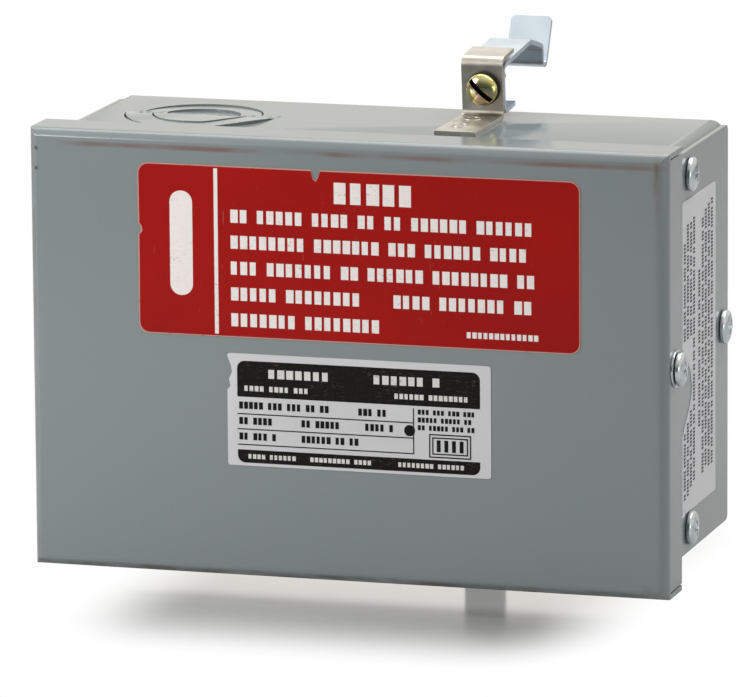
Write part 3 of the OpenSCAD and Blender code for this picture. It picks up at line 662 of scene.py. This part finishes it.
def rounded_tab(mesh):
    """The clamp hook with the two corners at the end of its raised tab rounded off."""
    up = math.radians(TAB_RISE)
    along = Vector((0, math.cos(up), math.sin(up)))
    through = Vector((0, -math.sin(up), math.cos(up)))
    end = max(vertex.co.dot(along) for vertex in mesh.vertices)
    middle = max((vertex.co for vertex in mesh.vertices), key=along.dot).dot(through)
    edge = max(vertex.co.x for vertex in mesh.vertices)
    r = TAB_CORNER * MM
    for side in (-1, 1):
        arc = [(edge - r + r * math.sin(a), end - r + r * math.cos(a))
               for a in (math.radians(15 * k) for k in range(7))]
        outline = arc + [(edge + r, end - r), (edge + r, end + r), (edge - r, end + r)]
        shape = bmesh.new()
        rims = [[shape.verts.new(Vector((side * x, 0, 0)) + along * u + through * (middle + off * MM))
                 for x, u in outline] for off in (-3, 3)]
        for rim in rims:
            shape.faces.new(rim)
        for k in range(len(outline)):
            after = (k + 1) % len(outline)
            shape.faces.new((rims[0][k], rims[0][after], rims[1][after], rims[1][k]))
        mesh = carved(mesh, mesh_from(shape, "tab_corner"))
    return mesh


def dress_solids():
    """Every rigid node whose shape is right gets its finish, and softened edges where EDGES lists it."""
    for node, material in NODE_MATERIALS.items():
        if node in REMADE:
            continue
        if node == "body_shell":
            mesh = body_with_hole()
        elif node == "clamp_hook":
            mesh = softened(rounded_tab(merged_copy(node)), EDGES[node])
        elif node in EDGES:
            mesh = softened(merged_copy(node), EDGES[node])
        else:
            cad = frame["nodes"][node].data.materials
            cad.clear()
            cad.append(material)
            continue
        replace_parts(shown(node + "_piece", mesh, node, material), node)
    shown("knockout_relief", knockout_relief(), "body_shell", ENAMEL)


dress_solids()


# ---------------------------------------------------------------- screws

def pan_head(radius, height, shank, length, material):
    """A cross-recessed pan head screw, head up, with a rolled thread under its head."""
    crown = height * 0.55
    arc = [(radius * math.sin(a), height - crown + crown * math.cos(a))
           for a in (math.radians(90 - 7.5 * k) for k in range(1, 12))]
    core = shank - 0.3
    profile = [(0, -length), (core - 0.5, -length), (core, 0.8 - length), (core, 0), (core, 0.25),
               (radius - 0.35, 0.25), (radius, 0.5), (radius, height - crown)] + arc + [(0, height)]
    screw = lathe(profile)
    for turn in (0, 90):
        blade = wedge((radius * 1.05, 1.15), (radius * 0.5, 0.7), height + 0.2, height - 1.5)
        blade.transform(Matrix.Rotation(math.radians(turn), 4, "Z"))
        screw = carved(screw, blade)
    ridge = thread(core, 0.3, 1.0, 1 - length, -0.6, material)
    return smoothed(joined(screw, ridge), 40)


PAN_R, PAN_HEIGHT = 4.8, 2.5
FIXING_SHANK, FIXING_LENGTH = 2.1, 9


def plate_screw_places(node, side):
    """Where a plate's three screws sit, from the box that they fill."""
    low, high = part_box(node)
    head = PAN_R * MM
    face = (high.x - PAN_HEIGHT * MM) if side > 0 else (low.x + PAN_HEIGHT * MM)
    spots = ((low.y + head, high.z - head), (low.y + head, low.z + head), (high.y - head, 0))
    return [(face, y, z) for y, z in spots]


def make_screws():
    """The seven fixing screws, one piece for each node."""
    chance = random.Random(7)
    master = pan_head(PAN_R, PAN_HEIGHT, FIXING_SHANK, FIXING_LENGTH, SCREW_ZINC)
    low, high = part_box("cover_screw")
    cover_place = [(high.x - PAN_HEIGHT * MM, (low.y + high.y) / 2, (low.z + high.z) / 2)]
    for node, side, places in (
            ("left_plate_screws", -1, plate_screw_places("left_plate_screws", -1)),
            ("right_plate_screws", 1, plate_screw_places("right_plate_screws", 1)),
            ("cover_screw", 1, cover_place)):
        rows = []
        for place in places:
            spin = Matrix.Rotation(chance.uniform(0, math.pi), 4, "Z")
            lay = Matrix.Rotation(side * math.pi / 2, 4, "Y")
            rows.append((place, tuple((lay @ spin).to_euler()), (1, 1, 1)))
        mesh = repeated(master, rows, SCREW_ZINC)
        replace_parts(shown(node + "_piece", mesh, node, SCREW_ZINC), node)


DOME_R, DOME_FOOT, DOME_RISE = 4.55, 0.9, 2.3
CLAMP_SHANK, CLAMP_LENGTH = 2.15, 17


def make_clamp_screw():
    """The clamp's slotted screw: a smooth dome with a slot, and its thread."""
    dome = [(DOME_R * math.cos(a), DOME_FOOT + DOME_RISE * math.sin(a))
            for a in (math.radians(6 * k) for k in range(1, 15))]
    tip = 0.8 - CLAMP_LENGTH
    profile = [(0, -CLAMP_LENGTH), (CLAMP_SHANK - 0.35, -CLAMP_LENGTH), (CLAMP_SHANK, tip),
               (CLAMP_SHANK, 0), (DOME_R - 0.15, 0), (DOME_R, 0.15), (DOME_R, DOME_FOOT)]
    screw = lathe(profile + dome + [(0, DOME_FOOT + DOME_RISE)], 96)
    slot = wedge((12, 1.5), (12, 1.3), 4, SLOT_FLOOR)
    slot.transform(Matrix.Rotation(SLOT_TURN, 4, "Z"))
    ridge = thread(CLAMP_SHANK, 0.26, 0.9, 1 - CLAMP_LENGTH, -0.4, YELLOW_ZINC)
    screw = joined(carved(screw, slot), ridge)
    stand = Matrix((SCREW_ACROSS, SCREW_UP, SCREW_OUT)).transposed().to_4x4()
    screw.transform(Matrix.Translation(SCREW_SEAT) @ stand)
    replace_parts(shown("clamp_screw_piece", smoothed(screw, 40), "clamp_screw", YELLOW_ZINC), "clamp_screw")


make_screws()
make_clamp_screw()


# ---------------------------------------------------------------- stickers

FILM, INK = 0.2, 0.03


def on_front(node):
    """Places a point so far right of a front sticker's left edge, below its top and out of its back."""
    low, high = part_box(node)
    return lambda a, b, out: Vector((low.x + a * MM, high.y - out * MM, high.z - b * MM))


def on_side(node):
    """The same for the sticker on the right plate, from its front edge towards the back."""
    low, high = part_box(node)
    return lambda a, b, out: Vector((low.x + out * MM, low.y + a * MM, high.z - b * MM))


def round_corner(x, y, r, start):
    """A round corner's points about (x, y), turning 90 degrees clockwise on the sheet."""
    return [(x + r * math.cos(math.radians(start + 15 * k)), y + r * math.sin(math.radians(start + 15 * k)))
            for k in range(7)]


def sheet_outline(box, r, top=(), left=(), r_low=None):
    """A sheet from (left, top, right, bottom), clockwise, with points of damage on two edges."""
    x0, y0, x1, y1 = box
    low = r if r_low is None else r_low
    upper = round_corner(x0 + r, y0 + r, r, 180) + list(top) + round_corner(x1 - r, y0 + r, r, 270)
    lower = round_corner(x1 - low, y1 - low, low, 0) + round_corner(x0 + low, y1 - low, low, 90)
    return upper + lower + list(left)


def layer(name, node, place, outline, low, high, material):
    """A flat layer of film or ink with this outline, between two heights over the face."""
    shape = bmesh.new()
    rims = [[shape.verts.new(place(a, b, h)) for a, b in outline] for h in (low, high)]
    for triangle in tessellate_polygon([[Vector((a, b, 0)) for a, b in outline]]):
        for rim in rims:
            shape.faces.new([rim[k] for k in triangle])
    count = len(outline)
    for k in range(count):
        shape.faces.new((rims[0][k], rims[0][(k + 1) % count], rims[1][(k + 1) % count], rims[1][k]))
    return shown(name, mesh_from(shape, name), node, material)


def unit_cube():
    """A cube with sides of one metre, scaled down for each printed mark."""
    shape = bmesh.new()
    bmesh.ops.create_cube(shape, size=1)
    return mesh_from(shape, "unit_cube")


def print_marks(name, node, place, marks, material):
    """Every printed mark (left, top, width, height) as a thin raised box."""
    rows = []
    for a, b, w, h in marks:
        middle = place(a + w / 2, b + h / 2, FILM + 1.5 * INK)
        span = place(w, h, INK) - place(0, 0, 0)
        rows.append((middle, (0, 0, 0), [abs(v) for v in span]))
    shown(name, repeated(unit_cube(), rows, material), node, material)


def greeked(chance, left, right, top, height, letter, words):
    """A line of blocks in word-like groups, standing for print that isn't copied."""
    marks = []
    a = left
    while a < right - letter:
        for _ in range(chance.randint(*words)):
            if a + letter > right:
                break
            width = letter * chance.uniform(0.62, 0.8)
            marks.append((a, top, width, height))
            a += letter
        a += letter * 0.8
    return marks


def make_red_sticker():
    """The red sticker, its rule, a plain bar in its left field and blocks for its lines."""
    place = on_front("red_sticker")
    low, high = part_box("red_sticker")
    width, height = (high.x - low.x) / MM, (high.z - low.z) / MM
    notch = [(50.4, 0), (50.9, 2.2), (51.8, 3), (52.5, 1.7), (53, 0)]
    chip = [(0, 20.4), (0.9, 19.4), (0.7, 18), (0, 17)]
    edge = sheet_outline((0, 0, width, height), 3, notch, chip)
    rim = sheet_outline((0.3, 0.3, width - 0.3, height - 0.3), 2.8,
                        [(a, b + 0.4) for a, b in notch], [(a + 0.4, b) for a, b in chip])
    base = layer("red_sticker_base", "red_sticker", place, edge, 0, FILM - 0.02, WORN_FILM)
    layer("red_sticker_film", "red_sticker", place, rim, 0, FILM, RED_FILM)
    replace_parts(base, "red_sticker")
    chance = random.Random(3)
    marks = [(22.2, 0.8, 1.1, height - 1.6)]
    marks += greeked(chance, 57, 84.6, 3.3, 6, 4.7, (6, 6))
    for row, (left, right) in enumerate(((27, 116), (27, 115), (27, 116), (27, 66), (27, 71))):
        marks += greeked(chance, left, right, 12.2 + 7.3 * row, 3.7, 2.75, (2, 9))
    marks += greeked(chance, 74, 116, 12.2 + 7.3 * 3, 3.7, 2.75, (3, 11))
    marks += greeked(chance, 95, 116.5, 43.4, 1.7, 1.6, (13, 13))
    print_marks("red_sticker_print", "red_sticker", place, marks, WHITE_INK)
    bar = sheet_outline((9.3, 7.5, 15.9, 37), 3.2)
    layer("red_sticker_bar", "red_sticker", place, bar, FILM, FILM + INK, WHITE_INK)


def make_rating_plate():
    """The rating plate: two dark bands, ruled lines with blocks for print, and a plain outlet picture."""
    place = on_front("rating_plate")
    low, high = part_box("rating_plate")
    width, height = (high.x - low.x) / MM, (high.z - low.z) / MM
    torn = [(0, 10.5), (0.9, 9.2), (0.5, 7.4), (1.4, 5.2), (1.1, 3.4)]
    base = layer("rating_plate_film", "rating_plate", place,
                 sheet_outline((0, 0, width, height), 0.8, (), torn), 0, FILM, PLATE_FILM)
    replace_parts(base, "rating_plate")
    bands = ((2.9, 2, 73.1, 12.2, 2.2, 0.2), (2.9, 27.2, 73.1, 30.9, 0.2, 2.2))
    for k, (x0, y0, x1, y1, r, r_low) in enumerate(bands):
        layer("rating_plate_band_%d" % k, "rating_plate", place,
              sheet_outline((x0, y0, x1, y1), r, r_low=r_low), FILM, FILM + INK, BLACK_INK)
    hole = [(52.8 + 1.6 * math.cos(math.radians(15 * k)), 19.3 + 1.6 * math.sin(math.radians(15 * k)))
            for k in range(24)]
    layer("rating_plate_hole", "rating_plate", place, hole, FILM, FILM + INK, BLACK_INK)
    chance = random.Random(11)
    black = [(2.9, y, 50.9, 0.3) for y in (16.9, 21.2, 25.6)]
    black.append((53.8, 12.9, 0.3, 13))
    for left, right, top in ((3.4, 30, 13.6), (38, 48, 13.8), (3.4, 13.5, 18), (21.5, 34, 18),
                             (40, 49.5, 18), (3.4, 14.5, 22.4), (21.5, 39, 22.4)):
        black += greeked(chance, left, right, top, 2, 1.45, (2, 6))
    for top in (13.2, 15.4, 17.6):
        black += greeked(chance, 55.2, 72.6, top, 1.4, 1.15, (2, 6))
    for grow in (0, 0.9):
        x0, y0, x1, y1 = 58.4 + grow, 19.9 + grow, 70.5 - grow, 26.6 - grow
        black += [(x0, y0, x1 - x0, 0.35), (x0, y1 - 0.35, x1 - x0, 0.35),
                  (x0, y0, 0.35, y1 - y0), (x1 - 0.35, y0, 0.35, y1 - y0)]
    black += [(60.6 + 2.2 * k, 21.6, 1.1, 3.3) for k in range(4)]
    print_marks("rating_plate_print", "rating_plate", place, black, BLACK_INK)
    pale = []
    for left, right, top, tall, letter in ((12, 31.5, 4.2, 2.5, 2.6), (42.5, 63.5, 4.2, 2.5, 2.5),
                                           (5, 25, 9, 1.5, 1.5), (48.5, 70.5, 9, 1.5, 1.45),
                                           (6, 20.5, 28.4, 1.3, 1.3), (24, 43, 28.4, 1.3, 1.3),
                                           (49.5, 69.5, 28.4, 1.3, 1.3)):
        pale += greeked(chance, left, right, top, tall, letter, (4, 9))
    print_marks("rating_plate_reversed_print", "rating_plate",
                lambda a, b, out: place(a, b, out + INK if out > FILM else out), pale, PLATE_WHITE_INK)


def make_side_sticker():
    """The paper sticker, with its torn front edge and columns of tiny print that run upright."""
    place = on_side("side_sticker")
    low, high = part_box("side_sticker")
    width, height = (high.y - low.y) / MM, (high.z - low.z) / MM
    bite = [(0, 66.5), (2.6, 63.4), (6.4, 60.4), (9.6, 57.2), (10.8, 53.5), (9, 48.6), (4.6, 44), (0, 41)]
    base = layer("side_sticker_paper", "side_sticker", place,
                 sheet_outline((0, 0, width, height), 1, (), bite), 0, FILM, PAPER)
    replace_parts(base, "side_sticker")
    chance = random.Random(5)
    columns = ((1.6, 12, 84), (5, 7, 84), (8.4, 7, 82), (11.8, 6, 80), (17.6, 22, 66), (21.4, 8, 80),
               (24.8, 6, 80), (28.2, 5, 80), (31.6, 4, 80))
    marks = []
    for a, first, last in columns:
        b = first
        while b < last:
            for _ in range(chance.randint(2, 8)):
                bare = a < 11.5 and 39 < b < 67 - a * 0.9
                if b < last and not bare:
                    marks.append((a, b, 1.9, 0.62))
                b += 0.98
            b += 0.8
    print_marks("side_sticker_print", "side_sticker", place, marks, SMALL_INK)


make_red_sticker()
make_rating_plate()
make_side_sticker()


# ---------------------------------------------------------------- stage, light and camera

SHADOW_IN = 50                      # how far in from the box's two ends the shadow starts to fade
SHADOW_FADE = (4, 57)               # where the floor starts to turn white and where it has
ENDS_FADE = 1.5                     # how much sooner it turns white beyond the ends
UNDER = 0.4                         # middle of the strip under the box that mirrors the room and glows with painted light, as a share of the way from its back to its front
                                    # as a share of the way from its back to its front


def floor_white():
    """A pale floor that keeps the object's shadow, is white further out, and ends in front."""
    material = bpy.data.materials.new("pale_floor")
    material.use_nodes = True
    tree = material.node_tree
    tree.nodes.clear()
    place = add(tree, "ShaderNodeTexCoord").outputs["Object"]
    low, high = CAD_BOX
    middle = ((low.x + high.x) / 2, (low.y + high.y) / 2, 0)
    half = ((high.x - low.x) / 2 - SHADOW_IN * MM, (high.y - low.y) / 2, 0)
    away = add(tree, "ShaderNodeVectorMath", {0: place, 1: middle}, operation="SUBTRACT")
    away = add(tree, "ShaderNodeVectorMath", {0: away}, operation="ABSOLUTE")
    away = add(tree, "ShaderNodeVectorMath", {0: away, 1: half}, operation="SUBTRACT")
    away = add(tree, "ShaderNodeVectorMath", {0: away, 1: (0, 0, 0)}, operation="MAXIMUM")
    away = add(tree, "ShaderNodeVectorMath", {0: away, 1: (ENDS_FADE, 1, 1)}, operation="MULTIPLY")
    away = add(tree, "ShaderNodeVectorMath", {0: away}, operation="LENGTH").outputs["Value"]
    fade = add(tree, "ShaderNodeMapRange", {"Value": away, "From Min": SHADOW_FADE[0] * MM,
               "From Max": SHADOW_FADE[1] * MM}, interpolation_type="SMOOTHSTEP")
    depth = add(tree, "ShaderNodeSeparateXYZ", {"Vector": place}).outputs["Y"]
    under = near(tree, depth, UNDER * COVER[0].y / MM, 22, 24)
    # Under the box the floor also glows through its emission: painted light for the room's light reaching in
    # under the box.
    paint = add(tree, "ShaderNodeBsdfPrincipled",
                {"Base Color": linear("#dedede"), "Roughness": 0.16, "IOR": 1.8,
                 "Metallic": product(tree, under, 0.36), "Emission Color": linear("#ffffff"),
                 "Emission Strength": product(tree, under, 0.23)})
    white = add(tree, "ShaderNodeEmission", {"Color": linear("#ffffff"), "Strength": 1.0})
    seen = add(tree, "ShaderNodeMixShader", {0: fade, 1: paint, 2: white})
    table = add(tree, "ShaderNodeMapRange", {"Value": depth, "From Min": -1.4, "From Max": -0.5})
    cloth = add(tree, "ShaderNodeBsdfDiffuse",
                {"Color": toned(tree, table, linear("#3a3a3a"), linear("#e2e2e2"))})
    ray = add(tree, "ShaderNodeLightPath").outputs
    straight = add(tree, "ShaderNodeMath", {0: ray["Is Camera Ray"], 1: ray["Is Transmission Ray"]},
                   operation="MAXIMUM")
    surface = add(tree, "ShaderNodeMixShader", {0: straight, 1: cloth, 2: seen})
    add(tree, "ShaderNodeOutputMaterial", {"Surface": surface})
    return material


def make_floor():
    """A wide floor at the height of the lowest hook."""
    shape = bmesh.new()
    bmesh.ops.create_grid(shape, x_segments=1, y_segments=1, size=3.0)
    mesh = bpy.data.meshes.new("floor")
    shape.to_mesh(mesh)
    shape.free()
    floor = linked("floor", mesh)
    floor.location = (0, 0, CAD_BOX[0].z)
    mesh.materials.append(floor_white())


def light_room():
    """A white room for the eye; what it lights and mirrors is bright above and behind."""
    world = bpy.data.worlds.new("studio")
    bpy.context.scene.world = world
    world.use_nodes = True
    tree = world.node_tree
    tree.nodes.clear()
    way = add(tree, "ShaderNodeTexCoord").outputs["Generated"]
    lean = add(tree, "ShaderNodeVectorMath", {0: way, 1: (0, 0.63, 0.77)}, operation="DOT_PRODUCT")
    bright = add(tree, "ShaderNodeMapRange", {"Value": lean.outputs["Value"], "From Min": -0.6,
                 "From Max": 0.35}, interpolation_type="SMOOTHSTEP")
    ray = add(tree, "ShaderNodeLightPath").outputs
    power = add(tree, "ShaderNodeMapRange", {"Value": ray["Is Glossy Ray"], "To Min": 0.22, "To Max": 0.95})
    room = add(tree, "ShaderNodeBackground",
               {"Color": toned(tree, bright, linear("#5e6265"), linear("#fffaf2")), "Strength": power})
    white = add(tree, "ShaderNodeBackground", {"Color": linear("#ffffff"), "Strength": 1.0})
    straight = add(tree, "ShaderNodeMath", {0: ray["Is Camera Ray"], 1: ray["Is Transmission Ray"]},
                   operation="MAXIMUM")
    add(tree, "ShaderNodeOutputWorld",
        {"Surface": add(tree, "ShaderNodeMixShader", {0: straight, 1: room, 2: white})})


LIGHT_AIM = Vector((0, -0.04, 0))


def softbox(name, place, size, power):
    """A rectangular studio light that faces the object."""
    data = bpy.data.lights.new(name, "AREA")
    data.shape = "RECTANGLE"
    data.size, data.size_y = size
    data.energy = power
    lamp = linked(name, data)
    lamp.location = place
    lamp.rotation_euler = (Vector(place) - LIGHT_AIM).to_track_quat("Z", "Y").to_euler()


VIEW_TURN, VIEW_RISE, VIEW_ROLL = (math.radians(a) for a in (16.78, 11.25, -0.41))
VIEW_AWAY = 2.246
VIEW_ACROSS, VIEW_UP = -14.69, 3.01
LENS = 390.1


def place_camera():
    """A long lens from the front right, a little above."""
    turn, rise, roll = VIEW_TURN, VIEW_RISE, VIEW_ROLL
    target = Vector((VIEW_ACROSS, COVER[0].y / MM, VIEW_UP)) * MM
    back = Vector((math.sin(turn) * math.cos(rise), -math.cos(turn) * math.cos(rise), math.sin(rise)))
    data = bpy.data.cameras.new("camera")
    data.sensor_width = 36
    data.lens = LENS
    data.clip_end = 20
    camera = linked("camera", data)
    camera.location = target + back * VIEW_AWAY
    level = back.to_track_quat("Z", "Y").to_matrix()
    right, up = level.col[0], level.col[1]
    tilted = level.copy()
    tilted.col[0] = right * math.cos(roll) + up * math.sin(roll)
    tilted.col[1] = up * math.cos(roll) - right * math.sin(roll)
    camera.rotation_euler = tilted.to_euler()
    bpy.context.scene.camera = camera


make_floor()
light_room()
softbox("overhead", (0.16, 0.36, 1.0), (1.5, 0.9), 11)
softbox("upper_left", (-0.42, -0.4, 0.33), (0.3, 0.3), 2.55)
softbox("right_side", (1.0, -0.42, 0.0), (0.6, 0.4), 2.1)
place_camera()
bpy.context.scene.view_settings.view_transform = "Standard"
